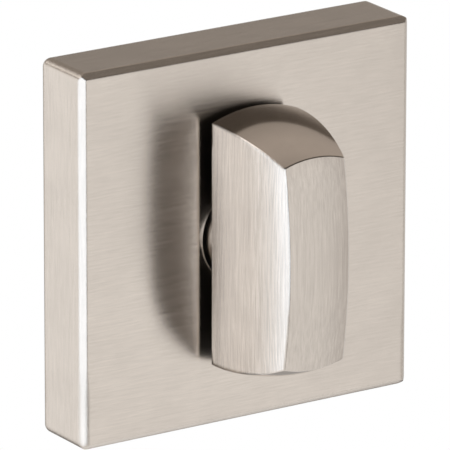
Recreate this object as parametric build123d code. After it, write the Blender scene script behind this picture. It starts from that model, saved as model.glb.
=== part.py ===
from build123d import *
import os
from math import sqrt

os.makedirs("parts", exist_ok=True)

# All sizes in millimetres. Pieces are drawn with X to the right, Y up and Z out from the door,
# and are then turned to stand on a door whose face is the XZ plane of the row.

# Rose cover
rose_width = 52.0
rose_depth = 10.25
front_bevel = 0.8
outer_round = 1.2
cover_wall = 2.0
cover_front = 2.0
cavity_corner = 1.5
hub_diameter = 22.0
lip_depth = 0.8
neck_hole_bevel = 0.15

# Knob
knob_gap = 1.6
knob_depth = 15.8
knob_height = 36.2
knob_width = 13.6
crown_radius = 30.0
crown_peak = 0.45
flank_radius = 49.0
flank_peak = 1.45
front_radius = 80.0
dome_radius = 78.0
front_edge_bevel = 0.15
crown_edge_bevel = 0.1
back_edge_bevel = 0.18

# Neck, bush and the ring stack behind it
collar_inset = 0.24
collar_clearance = 0.42
neck_diameter = 12.0
neck_end = 0.3
neck_end_bevel = 0.4
running_clearance = 0.03
axial_play = 0.05
bush_diameter = 17.0
bush_rear = 4.2
flange_diameter = 20.0
flange_thickness = 0.8
thrust_diameter = 18.4
thrust_thickness = 0.6
washer_clearance = 0.1
wave_diameter = 17.0
wave_thickness = 0.3
wave_height = 0.8
ring_thickness = 1.0
groove_width = 1.1
groove_depth = 0.25
ring_rim = 1.7
ring_offset = 0.35
ring_lug_reach = 3.4
ring_lug_width = 3.0
ring_lug_hole = 1.7
ring_mouth = 2.4

# Spindle and its pin
spindle_square = 5.0
spindle_fit = 0.05
spindle_reach = 32.0
spindle_seat = 2.0
spindle_bevel = 0.5
pin_diameter = 2.0
pin_bore = 1.1
pin_slot = 0.5
pin_recess = 0.2
pin_height = 6.3

# Base plate
plate_gap = 0.2
plate_thickness = 4.0
plate_corner = 1.3
plate_bore = 24.0
bolt_spacing = 38.0
bolt_hole = 4.3
bolt_head = 7.6
wood_spacing = 32.0
wood_hole = 3.8
wood_head = 6.8
tab_width = 12.0
tab_height = 1.2
tab_thickness = 1.2
tab_reach = 0.8
tab_clearance = 0.25

# Grub screw in the bottom edge
grub_diameter = 3.0
grub_height = 2.6
grub_clearance = 0.05
grub_recess = 0.4
grub_tip = 0.3
grub_key = 1.5
grub_key_depth = 1.6
dimple_depth = 0.9
pad_width = 7.0
pad_depth = 2.0
pad_start = 0.6
notch_side_gap = 0.5
notch_gap = 0.4

# Sizes that follow from the ones above
cavity_half = rose_width / 2 - cover_wall
cavity_top = rose_depth - cover_front
bush_front = rose_depth - lip_depth
knob_back = rose_depth + knob_gap
collar_radius = knob_width / 2 - collar_inset
neck_radius = neck_diameter / 2
neck_hole_radius = collar_radius + collar_clearance
flange_rear = bush_rear - flange_thickness
thrust_front = flange_rear - axial_play
thrust_rear = thrust_front - thrust_thickness
ring_front = thrust_rear - wave_height
ring_rear = ring_front - ring_thickness
groove_radius = neck_radius - groove_depth
washer_radius = neck_radius + washer_clearance
plate_half = cavity_half - plate_gap
pad_top = cavity_half - pad_depth
notch_floor = pad_top - notch_gap
spindle_front = knob_back + spindle_seat

DOOR = Plane(origin=(0, 0, 0), x_dir=(1, 0, 0), z_dir=(0, -1, 0))


def rod(radius, start, end):
    """Round bar along the turning axis."""
    return Pos(0, 0, start) * Cylinder(radius, end - start, align=(Align.CENTER, Align.CENTER, Align.MIN))


def block(width, height, start, end):
    """Rectangular block centred on the turning axis."""
    return Pos(0, 0, start) * Box(width, height, end - start, align=(Align.CENTER, Align.CENTER, Align.MIN))


def rounded_block(width, corner, start, end):
    """Square block with rounded corners."""
    return extrude(Pos(0, 0, start) * RectangleRounded(width, width, corner), end - start)


def upright(radius, low, high, out):
    """Round bar that stands along Y at a distance out from the door."""
    bar = Cylinder(radius, high - low, align=(Align.CENTER, Align.CENTER, Align.MIN))
    return Pos(0, low, out) * Rot(-90, 0, 0) * bar


def upright_cone(low_radius, high_radius, low, high, out):
    """Cone that stands along Y at a distance out from the door."""
    cone = Cone(low_radius, high_radius, high - low, align=(Align.CENTER, Align.CENTER, Align.MIN))
    return Pos(0, low, out) * Rot(-90, 0, 0) * cone


def save(name, piece):
    """Turn a piece to the row's frame and write its file."""
    export_step(DOOR.location * piece, "parts/" + name + ".step")


# Rose cover: bevelled square shell with a hub for the bush
profile = Pos(0, rose_depth / 2) * Rectangle(rose_width, rose_depth)
profile = chamfer(profile.vertices().group_by(Axis.Y)[-1], front_bevel)
upright_bar = extrude(Plane.XZ * profile, rose_width / 2, both=True)
level_bar = extrude(Plane.YZ * profile, rose_width / 2, both=True)
blank = block(rose_width, rose_width, 0, rose_depth)
blank = fillet(blank.edges().filter_by(Axis.Z) + blank.edges().group_by(Axis.Z)[0], outer_round)
cover = blank & upright_bar & level_bar
cover -= rounded_block(2 * cavity_half, cavity_corner, -1, cavity_top)
cover += rod(hub_diameter / 2, bush_rear, cavity_top)
cover -= rod(bush_diameter / 2, bush_rear - 1, bush_front)
cover -= rod(neck_hole_radius, bush_front - 1, rose_depth + 1)
bevel_cone = Cone(
    neck_hole_radius,
    neck_hole_radius + neck_hole_bevel,
    neck_hole_bevel,
    align=(Align.CENTER, Align.CENTER, Align.MAX),
)
cover -= Pos(0, 0, rose_depth) * bevel_cone
pad = Pos(0, -(pad_top + cavity_half) / 2, 0) * block(pad_width, pad_depth, pad_start, cavity_top)
cover += pad
cover -= upright(grub_diameter / 2, -rose_width / 2 - 1, -pad_top + 1, grub_height)
groove_size = tab_reach - plate_gap + tab_clearance
groove_low = tab_height - tab_clearance
groove_high = tab_height + tab_thickness + tab_clearance
hook_groove = block(tab_width + 2 * tab_clearance, 2 * groove_size, groove_low, groove_high)
cover -= Pos(0, cavity_half, 0) * hook_groove
save("rose_cover", cover)

# Bush: plain bearing for the neck with a flange behind the hub
bush = rod(bush_diameter / 2, flange_rear, bush_front) + rod(flange_diameter / 2, flange_rear, bush_rear)
bush -= rod(neck_radius + running_clearance, flange_rear - 1, bush_front + 1)
save("neck_bush", bush)

# Knob: a turned crown cut to a barrel that is swept about a level line far behind the door
half_height = knob_height / 2
half_width = knob_width / 2
blank_depth = knob_depth + 1


def crown_r(z):
    """Radius of the crown at a height above the knob's back face."""
    return half_height - crown_radius + sqrt(crown_radius**2 - (z - crown_peak) ** 2)


def flank_x(z):
    """Half width of the barrel at a height above the knob's back face."""
    return half_width - flank_radius + sqrt(flank_radius**2 - (z - flank_peak) ** 2)


def flank(side):
    """Curved side of the barrel's plan."""
    heights = (-1, blank_depth / 2, blank_depth)
    return ThreePointArc(*[(side * flank_x(z), z) for z in heights])


outline = Polyline((crown_r(blank_depth), blank_depth), (0, blank_depth), (0, 0), (crown_r(0), 0))
outline += ThreePointArc(*[(crown_r(z), z) for z in (0, blank_depth / 2, blank_depth)])
crown = revolve(Plane.XZ * make_face(outline), Axis.Z)

plan = flank(1) + flank(-1)
plan += Line((-flank_x(-1), -1), (flank_x(-1), -1))
plan += Line((-flank_x(blank_depth), blank_depth), (flank_x(blank_depth), blank_depth))
plan = make_face(plan) & Pos(0, knob_depth - front_radius) * Circle(front_radius)
plan = chamfer(plan.vertices().group_by(Axis.Y)[-1], front_edge_bevel)
sweep_line = Axis((0, 0, knob_depth - dome_radius), (1, 0, 0))
barrel = revolve((Plane.XZ * plan).rotate(sweep_line, -30), sweep_line, 60)

knob = crown & barrel
back_edges = [edge for edge in knob.edges() if edge.bounding_box().max.Z < 0.01]
knob = chamfer(back_edges, back_edge_bevel)
crown_edges = [edge for edge in knob.edges() if edge.center().Z > 2 and abs(edge.center().Y) > half_width]
knob = chamfer(crown_edges, crown_edge_bevel)
knob = Pos(0, 0, knob_back) * knob
shoulder = bush_front + axial_play
knob += rod(collar_radius, shoulder, knob_back + 0.5)
neck = rod(neck_radius, neck_end, shoulder + 0.5)
knob += chamfer(neck.edges().group_by(Axis.Z)[0], neck_end_bevel)
groove_cut = rod(neck_radius + 1, ring_rear, ring_rear + groove_width)
knob -= groove_cut - rod(groove_radius, ring_rear - 1, ring_rear + groove_width + 1)
socket = spindle_square + 2 * spindle_fit
knob -= block(socket, socket, neck_end - 1, spindle_front + spindle_fit)
cross_hole = Pos(0, 0, pin_height) * Rot(0, 90, 0) * Cylinder(pin_diameter / 2, knob_height)
knob -= cross_hole
save("thumb_knob", knob)

# Washers and circlip behind the bush
thrust = rod(thrust_diameter / 2, thrust_rear, thrust_front)
thrust -= rod(washer_radius, thrust_rear - 1, thrust_front + 1)
save("thrust_washer", thrust)

wave_half = wave_diameter / 2
wave_bow = (wave_height**2 - wave_thickness**2 + wave_half**2) / (2 * (wave_height - wave_thickness))
wave_place = Pos(0, 0, thrust_rear - wave_bow) * Rot(0, 90, 0)
wave_shell = Cylinder(wave_bow, 2 * wave_diameter) - Cylinder(wave_bow - wave_thickness, 2 * wave_diameter)
wave_ring = rod(wave_half, ring_front - 1, thrust_rear + 1)
wave_ring -= rod(washer_radius, ring_front - 2, thrust_rear + 2)
wave = wave_ring & (wave_place * wave_shell)
save("wave_washer", wave)

lug_centre = groove_radius + ring_lug_reach / 2
circlip = Pos(0, -ring_offset, 0) * rod(groove_radius + ring_rim - ring_offset, ring_rear, ring_front)
lug_span = ring_mouth + 2 * ring_lug_width
circlip += Pos(0, lug_centre, 0) * block(lug_span, ring_lug_reach, ring_rear, ring_front)
circlip -= rod(groove_radius, ring_rear - 1, ring_front + 1)
circlip -= Pos(0, lug_centre, 0) * block(ring_mouth, 2 * ring_lug_reach, ring_rear - 1, ring_front + 1)
for side in (-1, 1):
    lug_x = side * (ring_mouth + ring_lug_width) / 2
    circlip -= Pos(lug_x, lug_centre, 0) * rod(ring_lug_hole / 2, ring_rear - 1, ring_front + 1)
save("retaining_ring", circlip)

# Spindle and the roll pin that holds it
spindle = block(spindle_square, spindle_square, -spindle_reach, spindle_front)
spindle = chamfer(spindle.edges().group_by(Axis.Z)[0], spindle_bevel)
spindle -= cross_hole
save("spindle", spindle)

pin_length = neck_diameter - 2 * pin_recess
pin = Cylinder(pin_diameter / 2, pin_length) - Cylinder(pin_bore / 2, pin_length + 1)
pin -= Pos(pin_diameter / 2, 0, 0) * Box(pin_diameter, pin_slot, pin_length + 1)
save("spindle_pin", Pos(0, 0, pin_height) * Rot(0, 90, 0) * pin)

# Base plate: screwed to the door, with the cover hooked over its top tab
plate = rounded_block(2 * plate_half, plate_corner, 0, plate_thickness)
tab_block = block(tab_width, 2 * tab_reach, tab_height, tab_height + tab_thickness)
plate += Pos(0, plate_half, 0) * tab_block
plate -= rod(plate_bore / 2, -1, plate_thickness + 1)


def countersunk(x, y, hole, head):
    """Clearance hole with a right-angled countersink in the plate's front."""
    depth = (head - hole) / 2
    cone = Cone(hole / 2, head / 2, depth, align=(Align.CENTER, Align.CENTER, Align.MAX))
    return Pos(x, y, 0) * (rod(hole / 2, -1, plate_thickness + 1) + Pos(0, 0, plate_thickness) * cone)


for side in (-1, 1):
    plate -= countersunk(side * bolt_spacing / 2, 0, bolt_hole, bolt_head)
    for level in (-1, 1):
        plate -= countersunk(side * wood_spacing / 2, level * wood_spacing / 2, wood_hole, wood_head)
notch = block(pad_width + 2 * notch_side_gap, 2 * (plate_half - notch_floor), -1, plate_thickness + 1)
plate -= Pos(0, -plate_half, 0) * notch
dimple_apex = dimple_depth - notch_floor
plate -= upright_cone(dimple_depth, 0, -notch_floor, dimple_apex, grub_height)
save("base_plate", plate)

# Grub screw: cone point in the plate's dimple, hexagon socket at the bottom edge
grub_radius = grub_diameter / 2 - grub_clearance
point_apex = dimple_apex - grub_clearance
shank_end = point_apex - grub_radius
grub_foot = grub_recess - rose_width / 2
grub = upright(grub_radius, grub_foot, shank_end, grub_height)
grub += upright_cone(grub_radius, grub_tip, shank_end, point_apex - grub_tip, grub_height)
key = extrude(RegularPolygon(grub_key / 2, 6, major_radius=False), grub_key_depth)
grub -= Pos(0, grub_foot, grub_height) * Rot(-90, 0, 0) * key
save("cover_grub_screw", grub)
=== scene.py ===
import math

import bmesh
import bpy
from mathutils import Matrix, Vector

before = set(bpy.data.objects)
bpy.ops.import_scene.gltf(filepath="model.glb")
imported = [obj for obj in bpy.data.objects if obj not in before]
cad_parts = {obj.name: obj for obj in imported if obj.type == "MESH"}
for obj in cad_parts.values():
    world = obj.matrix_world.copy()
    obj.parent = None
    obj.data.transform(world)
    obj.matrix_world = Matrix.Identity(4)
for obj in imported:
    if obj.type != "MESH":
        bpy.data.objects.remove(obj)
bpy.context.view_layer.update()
scene = bpy.context.scene
scene.view_settings.view_transform = "Standard"

# Camera: a long lens to the left of the knob and a little above it. Angles in degrees, lengths in metres.
CAMERA_LEFT = 33.09
CAMERA_ABOVE = 17.67
CAMERA_ROLL = -0.08
CAMERA_DISTANCE = 1.0238
CAMERA_SLIDE = 0.00262
CAMERA_RISE = -0.00156
FOCAL_PIXELS = 7638.0
IMAGE_PIXELS = 450.0
SENSOR_MM = 36.0

# The knob, in metres: its back stands clear of the rose, and its crown and foot are at the ends of its height
ROSE_DEPTH = 0.01025
KNOB_GAP = 0.0016
KNOB_BACK = -(ROSE_DEPTH + KNOB_GAP)
KNOB_END = 0.0181
FOOT_EASING = 0.0036
FOOT_EASED_TO = -KNOB_END
FOOT_EASED_FROM = FOOT_EASED_TO + FOOT_EASING
CROWN_EASED_FROM = 0.0130
CROWN_EASED_TO = 0.0142

# Colours, as the share of light that comes back
ROSE_NICKEL = (0.695, 0.626, 0.560)
KNOB_NICKEL = (0.62, 0.558, 0.499)
# Painted light: the flanks get a lighter copy of the knob's nickel so that they show brighter
FLANK_NICKEL_PAINTED_LIGHTER = (0.73, 0.664, 0.602)
# Painted shade: the knob's back, facing the door, is near black so that the gap behind the knob shows dark
PAINTED_SHADE_NICKEL = (0.05, 0.046, 0.042)
ZINC = (0.60, 0.61, 0.62)
SPRING_STEEL = (0.22, 0.22, 0.23)
BLACK_STEEL = (0.05, 0.05, 0.05)
BLACK_PLASTIC = (0.012, 0.012, 0.012)

# Least part of a face's outward direction that counts as facing sideways, up or down, or into the door
SIDEWAYS = 0.6
UPWARDS = 0.72
END_FACING = 0.6
DOOR_FACING = 0.9

# Brushing: noise scales per metre, the share of the fine strokes, and what one unit of depth does to a stroke
FINE_STROKES = 4200.0
BROAD_STROKES = 900.0
FINE_SHARE = 0.8
STROKE_BUMP = 0.10
STROKE_HEIGHT = 0.00002
STROKE_DARKER = 0.07
STROKE_LIGHTER = 0.05
STROKE_SPAN = (0.25, 0.75)
ROUGHNESS_SPREAD = 0.15
BLOTCHES = 160.0
BLOTCH_TONE = (0.965, 1.03)
EASING_SAMPLES = 6

# Mottle of the plated steel and grit of the plastic
NOISE_SPAN = (0.3, 0.7)
MOTTLE = 700.0
MOTTLE_TONE = (0.88, 1.08)
MOTTLE_SPREAD = 0.2
MOTTLE_BUMP = 0.05
MOTTLE_HEIGHT = 0.00005
GRIT = 5000.0
GRIT_TONE = (0.8, 1.2)
GRIT_BUMP = 0.15
GRIT_HEIGHT = 0.00002

# Studio, in metres and in plain light levels where 1 is white
WHITE = (1.0, 1.0, 1.0)
FLOOR_LEVEL = -1.2
FLOOR_HALF = 5.0
FLOOR_COLOUR = (0.8, 0.8, 0.8)
HORIZON = (0.95, 0.94, 0.93)
CEILING_RADIUS = 5.0
CEILING_RIM = -0.01
CEILING_FRONT = (0.075, 0.066, 0.058)
CEILING_MIDDLE = (0.19, 0.172, 0.155)
CEILING_BACK = (0.53, 0.475, 0.43)
WALL_BACK = (0.28, 0.253, 0.228)
BLACK_CARD = (0.03, 0.028, 0.026)
DARK_CARD = (0.17, 0.158, 0.15)
GREY_CARD = (0.40, 0.385, 0.37)
PALE_CARD = (0.62, 0.60, 0.585)
CORNER_CARD = (0.70, 0.68, 0.66)
COOL_LIGHT = (0.78, 1.0, 1.27)
PLAIN_LIGHT = WHITE
LAMP_DISTANCE = 0.75
REAR_CARD_DISTANCE = 0.4366
CUT_STEEPNESS = 2.5

# Where the ceiling's tones change, as parts of the direction from its centre: back, right and up
FRONT_TO_MIDDLE = (-0.8, -0.3)
MIDDLE_TO_BACK = (-0.3, 0.25)
BACK_TO_WALL = (0.4, 0.8)
LEFT_WALL = (-0.45, -0.30)
LEFT_WALL_RISE = 0.12
WALL_TOP = (0.05, 0.20)


def towards(azimuth, elevation, distance):
    """Place at a distance from the origin; azimuth runs from the front to the right, in degrees."""
    turn = math.radians(azimuth)
    lift = math.radians(elevation)
    level = math.cos(lift)
    return Vector((math.sin(turn) * level, -math.cos(turn) * level, math.sin(lift))) * distance


def add_camera():
    left = math.radians(CAMERA_LEFT)
    sight = towards(-CAMERA_LEFT, CAMERA_ABOVE, 1.0)
    right = Vector((math.cos(left), -math.sin(left), 0))
    up = sight.cross(right)
    data = bpy.data.cameras.new("camera")
    data.sensor_width = SENSOR_MM
    data.lens = SENSOR_MM * FOCAL_PIXELS / IMAGE_PIXELS
    camera = bpy.data.objects.new("camera", data)
    place = sight * CAMERA_DISTANCE + right * CAMERA_SLIDE + up * CAMERA_RISE
    level = Matrix((right, up, sight)).transposed().to_4x4()
    roll = Matrix.Rotation(math.radians(-CAMERA_ROLL), 4, "Z")
    camera.matrix_world = Matrix.Translation(place) @ level @ roll
    scene.collection.objects.link(camera)
    scene.camera = camera


class Nodes:
    """Short way to add and join the nodes of one material or world."""

    def __init__(self, tree):
        self.tree = tree
        self.tree.nodes.clear()

    def add(self, kind, inputs=None, **settings):
        node = self.tree.nodes.new(kind)
        for key, value in settings.items():
            setattr(node, key, value)
        for key, value in (inputs or {}).items():
            if isinstance(value, bpy.types.NodeSocket):
                self.tree.links.new(value, node.inputs[key])
            else:
                node.inputs[key].default_value = value
        return node

    def math(self, operation, a, b=0.0):
        return self.add("ShaderNodeMath", {0: a, 1: b}, operation=operation).outputs[0]

    def vector(self, operation, a, b=(0.0, 0.0, 0.0)):
        return self.add("ShaderNodeVectorMath", {0: a, 1: b}, operation=operation).outputs[0]

    def dot(self, a, b):
        return self.add("ShaderNodeVectorMath", {0: a, 1: b}, operation="DOT_PRODUCT").outputs["Value"]

    def scale(self, vector, factor):
        return self.add("ShaderNodeVectorMath", {0: vector, "Scale": factor}, operation="SCALE").outputs[0]

    def split(self, vector):
        return self.add("ShaderNodeSeparateXYZ", {0: vector}).outputs

    def range(self, value, low, high, out_low, out_high):
        sockets = {0: value, 1: low, 2: high, 3: out_low, 4: out_high}
        return self.add("ShaderNodeMapRange", sockets).outputs[0]

    def blend(self, factor, a, b):
        """From a to b; inputs 4 and 5 and output 1 of the node are its vectors."""
        return self.add("ShaderNodeMix", {0: factor, 4: a, 5: b}, data_type="VECTOR").outputs[1]

    def noise(self, place, scale, detail, roughness=0.5):
        sockets = {"Vector": place, "Scale": scale, "Detail": detail, "Roughness": roughness}
        return self.add("ShaderNodeTexNoise", sockets).outputs[0]

    def glow(self, colour):
        return self.add("ShaderNodeEmission", {"Color": colour, "Strength": 1.0})

    def surface(self, shader):
        self.add("ShaderNodeOutputMaterial", {0: shader.outputs[0]})


def opaque(colour):
    return (*colour, 1.0)


def new_material(name):
    material = bpy.data.materials.new(name)
    material.use_nodes = True
    return material, Nodes(material.node_tree)


def brushed_nickel(
    name, colour, roughness, anisotropy, grain_axes, stroke, depth, edge, low_edge, high_edge
):
    """Satin nickel with straight brushing.

    grain_axes gives the way the brush ran on faces that look along X, Y and Z. stroke is the width of a
    stroke as a part of its length, and depth is how strong the strokes are. The edges are eased by a radius
    in metres: edge in the middle, low_edge towards the bottom and high_edge towards the top.
    """
    material, nodes = new_material(name)
    coords = nodes.add("ShaderNodeTexCoord")
    place = coords.outputs["Object"]
    normal = coords.outputs["Normal"]
    normal_x, _, normal_z = nodes.split(normal)
    sideways = nodes.math("GREATER_THAN", nodes.math("ABSOLUTE", normal_x), SIDEWAYS)
    upwards = nodes.math("GREATER_THAN", nodes.math("ABSOLUTE", normal_z), UPWARDS)
    axes = {"X": (1.0, 0.0, 0.0), "Y": (0.0, 1.0, 0.0), "Z": (0.0, 0.0, 1.0)}
    along_x, along_y, along_z = [axes[axis] for axis in grain_axes]
    grain = nodes.blend(upwards, along_y, along_z)
    grain = nodes.blend(sideways, grain, along_x)

    # The strokes are noise drawn out along the grain
    along = nodes.dot(place, grain)
    squeeze = nodes.scale(grain, nodes.math("MULTIPLY", along, stroke - 1.0))
    stroke_place = nodes.vector("ADD", place, squeeze)
    fine = nodes.noise(stroke_place, FINE_STROKES, detail=3.0, roughness=0.6)
    broad = nodes.noise(stroke_place, BROAD_STROKES, detail=2.0)
    fine_part = nodes.math("MULTIPLY", fine, FINE_SHARE)
    broad_part = nodes.math("MULTIPLY", broad, 1.0 - FINE_SHARE)
    strokes = nodes.math("ADD", fine_part, broad_part)

    # Edges are eased a little, and differently towards the two ends
    height = nodes.split(place)[2]
    upper_radius = nodes.range(height, CROWN_EASED_FROM, CROWN_EASED_TO, edge, high_edge)
    radius = nodes.range(height, FOOT_EASED_FROM, FOOT_EASED_TO, upper_radius, low_edge)
    eased = nodes.add("ShaderNodeBevel", {"Radius": radius}, samples=EASING_SAMPLES).outputs[0]
    bump = nodes.add(
        "ShaderNodeBump",
        {"Height": strokes, "Strength": STROKE_BUMP * depth, "Distance": STROKE_HEIGHT, "Normal": eased},
    )

    # The strokes and faint blotches vary the tone, and the strokes vary the gloss
    blotches = nodes.noise(place, BLOTCHES, detail=4.0, roughness=0.6)
    patchy = nodes.range(blotches, *NOISE_SPAN, *BLOTCH_TONE)
    tone = nodes.range(strokes, *STROKE_SPAN, 1.0 - STROKE_DARKER * depth, 1.0 + STROKE_LIGHTER * depth)
    tint = nodes.scale(colour, nodes.math("MULTIPLY", tone, patchy))
    smooth = roughness * (1.0 - ROUGHNESS_SPREAD)
    rough = roughness * (1.0 + ROUGHNESS_SPREAD)

    # Gloss spreads across the grain
    across = nodes.add(
        "ShaderNodeVectorTransform",
        {0: nodes.vector("CROSS_PRODUCT", normal, grain)},
        vector_type="VECTOR",
        convert_from="OBJECT",
        convert_to="WORLD",
    ).outputs[0]
    shader = nodes.add(
        "ShaderNodeBsdfPrincipled",
        {
            "Base Color": tint,
            "Metallic": 1.0,
            "Roughness": nodes.range(strokes, *STROKE_SPAN, smooth, rough),
            "Anisotropic": anisotropy,
            "Normal": bump.outputs[0],
            "Tangent": nodes.vector("NORMALIZE", across),
        },
    )
    nodes.surface(shader)
    return material


def plated_steel(name, colour, roughness):
    """Plated or oiled steel with a faint mottle."""
    material, nodes = new_material(name)
    place = nodes.add("ShaderNodeTexCoord").outputs["Object"]
    mottle = nodes.noise(place, MOTTLE, detail=4.0)
    tint = nodes.scale(colour, nodes.range(mottle, *NOISE_SPAN, *MOTTLE_TONE))
    smooth = roughness * (1.0 - MOTTLE_SPREAD)
    rough = roughness * (1.0 + MOTTLE_SPREAD)
    bump = nodes.add("ShaderNodeBump", {"Height": mottle, "Strength": MOTTLE_BUMP, "Distance": MOTTLE_HEIGHT})
    shader = nodes.add(
        "ShaderNodeBsdfPrincipled",
        {
            "Base Color": tint,
            "Metallic": 1.0,
            "Roughness": nodes.range(mottle, *NOISE_SPAN, smooth, rough),
            "Normal": bump.outputs[0],
        },
    )
    nodes.surface(shader)
    return material


def moulded_plastic(name, colour, roughness):
    """Black moulded plastic with a fine spark-eroded surface."""
    material, nodes = new_material(name)
    place = nodes.add("ShaderNodeTexCoord").outputs["Object"]
    grit = nodes.noise(place, GRIT, detail=2.0)
    tint = nodes.scale(colour, nodes.range(grit, *NOISE_SPAN, *GRIT_TONE))
    bump = nodes.add("ShaderNodeBump", {"Height": grit, "Strength": GRIT_BUMP, "Distance": GRIT_HEIGHT})
    shader = nodes.add(
        "ShaderNodeBsdfPrincipled",
        {"Base Color": tint, "Roughness": roughness, "Normal": bump.outputs[0]},
    )
    nodes.surface(shader)
    return material


def dress(node, material):
    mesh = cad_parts[node].data
    mesh.materials.clear()
    mesh.materials.append(material)


def dress_faces(node, material, facing, ahead_of=math.inf):
    """Give another material to the faces ahead of a plane that pass a test on their outward direction."""
    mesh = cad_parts[node].data
    mesh.materials.append(material)
    for face in mesh.polygons:
        if facing(face.normal) and face.center.y < ahead_of:
            face.material_index = len(mesh.materials) - 1


def dress_rose():
    nickel = brushed_nickel(
        "satin_nickel_rose",
        ROSE_NICKEL,
        roughness=0.24,
        anisotropy=0.85,
        grain_axes="ZXX",
        stroke=0.05,
        depth=1.6,
        edge=0.0003,
        low_edge=0.0008,
        high_edge=0.0003,
    )
    dress("rose_cover", nickel)


def dress_knob():
    """Upright brushing, flanks painted lighter than the front as painted light, a smoother crown and foot,
    and a back painted near black as painted shade.
    """
    easing = {"edge": 0.00012, "low_edge": 0.0018}
    front = brushed_nickel(
        "satin_nickel_knob",
        KNOB_NICKEL,
        roughness=0.16,
        anisotropy=0.7,
        grain_axes="ZZX",
        stroke=0.025,
        depth=2.4,
        high_edge=0.00002,
        **easing,
    )
    # The flanks are a lighter copy of the same nickel: painted light.
    flank = brushed_nickel(
        "flank_nickel_painted_lighter",
        FLANK_NICKEL_PAINTED_LIGHTER,
        roughness=0.16,
        anisotropy=0.7,
        grain_axes="ZZX",
        stroke=0.035,
        depth=3.2,
        high_edge=0.0008,
        **easing,
    )
    crown = brushed_nickel(
        "polished_nickel_crown",
        KNOB_NICKEL,
        roughness=0.14,
        anisotropy=0.0,
        grain_axes="ZZX",
        stroke=0.015,
        depth=0.3,
        high_edge=0.00002,
        **easing,
    )
    # The back facing the door is painted near black: painted shade in the gap to the rose.
    back = plated_steel("knob_back_painted_shade", PAINTED_SHADE_NICKEL, roughness=0.6)
    dress("thumb_knob", front)
    dress_faces("thumb_knob", flank, lambda way: abs(way.x) > SIDEWAYS, ahead_of=KNOB_BACK)
    dress_faces("thumb_knob", crown, lambda way: abs(way.z) > END_FACING, ahead_of=KNOB_BACK)
    dress_faces("thumb_knob", back, lambda way: way.y > DOOR_FACING)


def dress_fittings():
    zinc = plated_steel("zinc_plate", ZINC, roughness=0.32)
    spring_steel = plated_steel("spring_steel", SPRING_STEEL, roughness=0.30)
    dress("base_plate", zinc)
    dress("spindle", zinc)
    for piece in ("spindle_pin", "thrust_washer", "wave_washer", "retaining_ring"):
        dress(piece, spring_steel)
    dress("cover_grub_screw", plated_steel("black_steel", BLACK_STEEL, roughness=0.35))
    dress("neck_bush", moulded_plastic("black_acetal", BLACK_PLASTIC, roughness=0.5))


def seen_directly(nodes):
    """1 for the rays that show a background: from the camera, off a mirror or through glass."""
    path = nodes.add("ShaderNodeLightPath").outputs
    seen = nodes.math("MAXIMUM", path["Is Camera Ray"], path["Is Glossy Ray"])
    return nodes.math("MAXIMUM", seen, path["Is Transmission Ray"])


def add_floor():
    mesh = bpy.data.meshes.new("floor")
    half = FLOOR_HALF
    corners = [(-half, -half, 0), (half, -half, 0), (half, half, 0), (-half, half, 0)]
    mesh.from_pydata(corners, [], [(0, 1, 2, 3)])
    floor = bpy.data.objects.new("floor", mesh)
    floor.location.z = FLOOR_LEVEL
    scene.collection.objects.link(floor)
    material, nodes = new_material("floor")
    matt = nodes.add("ShaderNodeBsdfDiffuse", {"Color": opaque(FLOOR_COLOUR)})
    white = nodes.glow(opaque(WHITE))
    seen = seen_directly(nodes)
    nodes.surface(nodes.add("ShaderNodeMixShader", {0: seen, 1: matt.outputs[0], 2: white.outputs[0]}))
    mesh.materials.append(material)


def add_world():
    """Pale all round, and white wherever it is seen."""
    world = bpy.data.worlds.new("studio")
    world.use_nodes = True
    scene.world = world
    nodes = Nodes(world.node_tree)
    shown = nodes.blend(seen_directly(nodes), HORIZON, WHITE)
    background = nodes.add("ShaderNodeBackground", {"Color": shown, "Strength": 1.0})
    nodes.add("ShaderNodeOutputWorld", {0: background.outputs[0]})


def add_ceiling():
    """Wide dome, dim overhead and darker over the front than over the back, that only the object sees."""
    shape = bmesh.new()
    bmesh.ops.create_uvsphere(shape, u_segments=32, v_segments=16, radius=CEILING_RADIUS)
    low = [corner for corner in shape.verts if corner.co.z < CEILING_RIM]
    bmesh.ops.delete(shape, geom=low, context="VERTS")
    mesh = bpy.data.meshes.new("ceiling")
    shape.to_mesh(mesh)
    shape.free()
    dome = bpy.data.objects.new("ceiling", mesh)
    dome.visible_camera = False
    scene.collection.objects.link(dome)
    material, nodes = new_material("ceiling")
    place = nodes.add("ShaderNodeTexCoord").outputs["Object"]
    right, back, up = nodes.split(nodes.vector("NORMALIZE", place))
    over_front = nodes.blend(nodes.range(back, *FRONT_TO_MIDDLE, 0.0, 1.0), CEILING_FRONT, CEILING_MIDDLE)
    ceiling = nodes.blend(nodes.range(back, *MIDDLE_TO_BACK, 0.0, 1.0), over_front, CEILING_BACK)
    ceiling = nodes.blend(nodes.range(back, *BACK_TO_WALL, 0.0, 1.0), ceiling, WALL_BACK)
    # The pale wall below it stands higher on the left
    over_wall = nodes.math("SUBTRACT", up, nodes.range(right, *LEFT_WALL, LEFT_WALL_RISE, 0.0))
    nodes.surface(nodes.glow(nodes.blend(nodes.range(over_wall, *WALL_TOP, 0.0, 1.0), HORIZON, ceiling)))
    mesh.materials.append(material)


def add_card(name, colour, azimuth, distance, width, bottom, top, cut=0.0):
    """Upright lit card that only the metal sees; bottom and top are heights from the turning axis.

    cut is the width that is taken off the lower left corner.
    """
    mesh = bpy.data.meshes.new(name)
    half = width / 2
    corners = [(-half + cut, 0, bottom), (half, 0, bottom), (half, 0, top), (-half, 0, top)]
    if cut:
        corners.append((-half, 0, bottom + CUT_STEEPNESS * cut))
    mesh.from_pydata(corners, [], [tuple(range(len(corners)))])
    card = bpy.data.objects.new(name, mesh)
    card.location = towards(azimuth, 0.0, distance)
    card.rotation_euler.z = math.radians(azimuth)
    card.visible_camera = False
    scene.collection.objects.link(card)
    material, nodes = new_material(name)
    nodes.surface(nodes.glow(opaque(colour)))
    mesh.materials.append(material)


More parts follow.
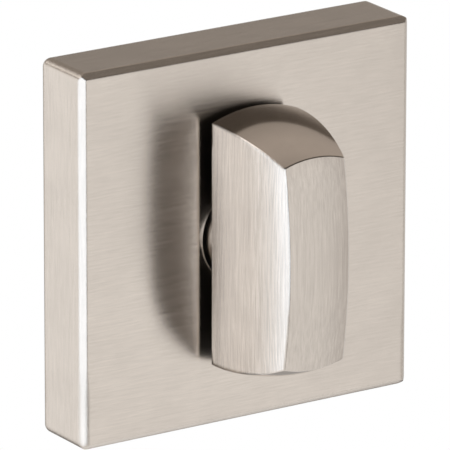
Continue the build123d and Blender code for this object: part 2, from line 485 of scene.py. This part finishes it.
def add_softbox(name, azimuth, elevation, width, height, level, colour=COOL_LIGHT, distance=LAMP_DISTANCE):
    """Rectangular soft lamp that faces the part; level 1 adds 0.785 of white to what is seen past it."""
    data = bpy.data.lights.new(name, "AREA")
    data.shape = "RECTANGLE"
    data.size = width
    data.size_y = height
    data.color = colour
    data.energy = level * math.pi * width * height
    lamp = bpy.data.objects.new(name, data)
    lamp.location = towards(azimuth, elevation, distance)
    lamp.rotation_euler = lamp.location.to_track_quat("Z", "Y").to_euler()
    scene.collection.objects.link(lamp)


def add_lamps():
    add_softbox("left_box", azimuth=-109.5, elevation=-2, width=0.0918, height=0.72, level=0.92)
    add_softbox("bevel_box", azimuth=-64.5, elevation=-2, width=0.1975, height=0.72, level=0.90)
    add_softbox("edge_box", azimuth=-57, elevation=3, width=0.16, height=0.52, level=0.14)
    add_softbox("middle_box", azimuth=-54, elevation=-2, width=0.158, height=0.70, level=0.28)
    add_softbox("front_box", azimuth=-38.5, elevation=-2, width=0.251, height=0.60, level=0.70)
    add_softbox(
        "back_box",
        azimuth=-150,
        elevation=-10,
        width=0.48,
        height=0.90,
        level=0.08,
        colour=PLAIN_LIGHT,
        distance=0.90,
    )
    add_softbox(
        "rim_box",
        azimuth=-131.6,
        elevation=43,
        width=0.45,
        height=0.45,
        level=1.5,
        colour=PLAIN_LIGHT,
    )


def add_cards():
    """Cards for the metal to reflect: dark before the knob, pale to its right, grey and dark behind it."""
    rear = REAR_CARD_DISTANCE
    add_card("front_card", BLACK_CARD, azimuth=-6.5, distance=0.356, width=0.106, bottom=-0.54, top=0.018)
    add_card("side_card", DARK_CARD, azimuth=-21.4, distance=0.1205, width=0.0525, bottom=-0.135, top=0.010)
    add_card(
        "right_card",
        PALE_CARD,
        azimuth=61.2,
        distance=0.60,
        width=0.545,
        bottom=-0.50,
        top=0.13,
        cut=0.12,
    )
    add_card("back_card", GREY_CARD, azimuth=166.5, distance=rear, width=0.578, bottom=-0.545, top=-0.002)
    add_card("corner_card", CORNER_CARD, azimuth=116, distance=rear, width=0.267, bottom=-0.24, top=-0.002)
    add_card("under_card", DARK_CARD, azimuth=118, distance=rear, width=0.30, bottom=-0.545, top=-0.24)
    add_card("low_card", BLACK_CARD, azimuth=-160, distance=0.30, width=0.30, bottom=-0.54, top=-0.30)


add_camera()
dress_rose()
dress_knob()
dress_fittings()
add_floor()
add_world()
add_ceiling()
add_lamps()
add_cards()
